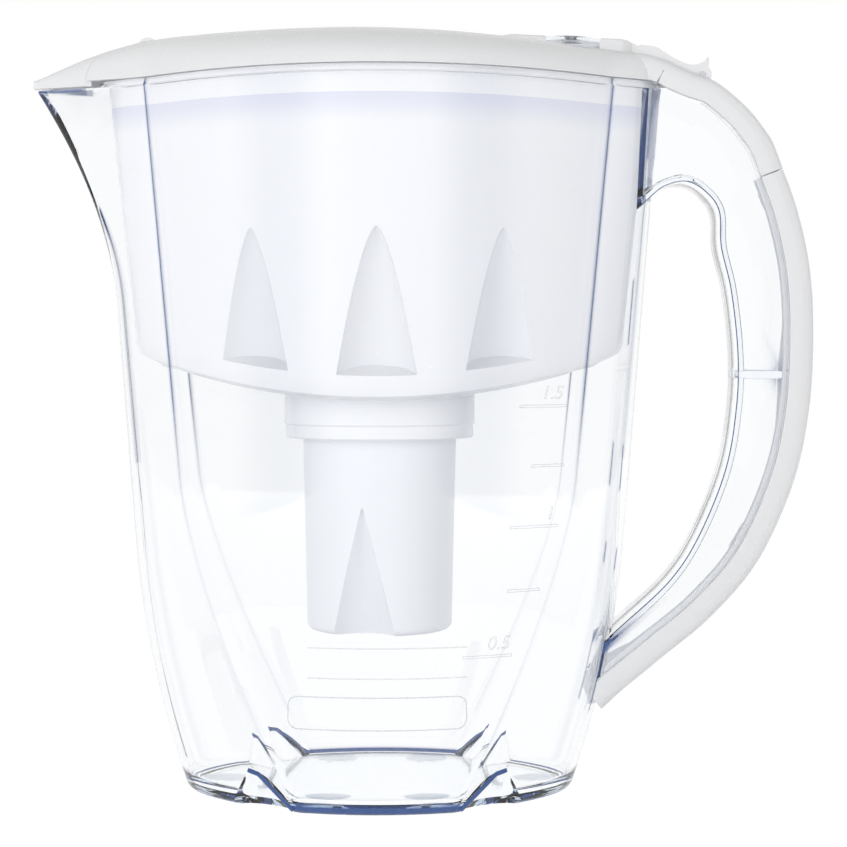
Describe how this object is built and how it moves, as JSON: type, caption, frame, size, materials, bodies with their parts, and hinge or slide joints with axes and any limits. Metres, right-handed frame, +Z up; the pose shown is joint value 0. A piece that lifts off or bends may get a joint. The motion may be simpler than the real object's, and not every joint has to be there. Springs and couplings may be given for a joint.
{
  "type": "water filter pitcher",
  "caption": "Clear leaf-shaped filter jug with beak spout and loop handle, white hopper with filter cartridge, and a white lid with fill flap, spout flap and reminder dial.",
  "frame": {"origin": "middle of the jug's foot, on the surface it stands on", "axes": "+X from spout to handle, -Y to the side with the level marks, +Z up"},
  "size_m": [0.2662, 0.1152, 0.2562],
  "materials": {
    "clear_plastic": "clear, polished",
    "clear_silicone": "clear, soft",
    "white_plastic": "smooth gloss",
    "milky_plastic": "translucent milky",
    "seal_rubber": "satin",
    "felt": "fibrous",
    "carbon": "granular",
    "pin_plastic": "satin",
    "dial_plastic": "satin, printed numbers",
    "pointer_plastic": "satin"
  },
  "bodies": {
    "jug": {"jug_body": "clear_plastic", "foot_pads": "clear_silicone", "jug_handle": "clear_plastic", "handle_cover": "white_plastic"},
    "hopper": {"hopper": "milky_plastic"},
    "cartridge": {"cartridge_barrel": "white_plastic", "cartridge_cap": "white_plastic", "cartridge_seal": "seal_rubber", "inlet_mesh": "felt", "carbon_media": "carbon", "outlet_felt": "felt"},
    "lid": {"lid_frame": "white_plastic", "spout_flap_pin": "pin_plastic"},
    "spout_flap": {"spout_flap": "white_plastic"},
    "flip_lid": {"flip_lid": "white_plastic", "flip_lid_pin": "pin_plastic", "number_plate": "dial_plastic"},
    "dial": {"dial_cover": "clear_plastic", "dial_pointer": "pointer_plastic", "dial_pin": "pin_plastic", "dial_clip": "pin_plastic"}
  },
  "joints": [
    {"name": "hopper_lift", "type": "slide", "parent": "jug", "child": "hopper", "axis": [0, 0, 1], "range_m": [0, 0.19]},
    {"name": "cartridge_lift", "type": "slide", "parent": "hopper", "child": "cartridge", "axis": [0, 0, 1], "range_m": [0, 0.088]},
    {"name": "lid_lift", "type": "slide", "parent": "hopper", "child": "lid", "axis": [0, 0, 1], "range_m": [0, 0.06]},
    {"name": "flip_lid_hinge", "type": "hinge", "parent": "lid", "child": "flip_lid", "pos_m": [0.1098, 0, 0.2428], "axis": [0, 1, 0], "range_deg": [0, 80]},
    {"name": "spout_flap_hinge", "type": "hinge", "parent": "lid", "child": "spout_flap", "pos_m": [-0.0785, 0, 0.2516], "axis": [0, 1, 0], "range_deg": [0, 60]},
    {"name": "dial_turn", "type": "hinge", "parent": "flip_lid", "child": "dial", "pos_m": [0.0655, 0, 0.2517], "axis": [0.0489, 0, 0.9988], "continuous": true}
  ]
}
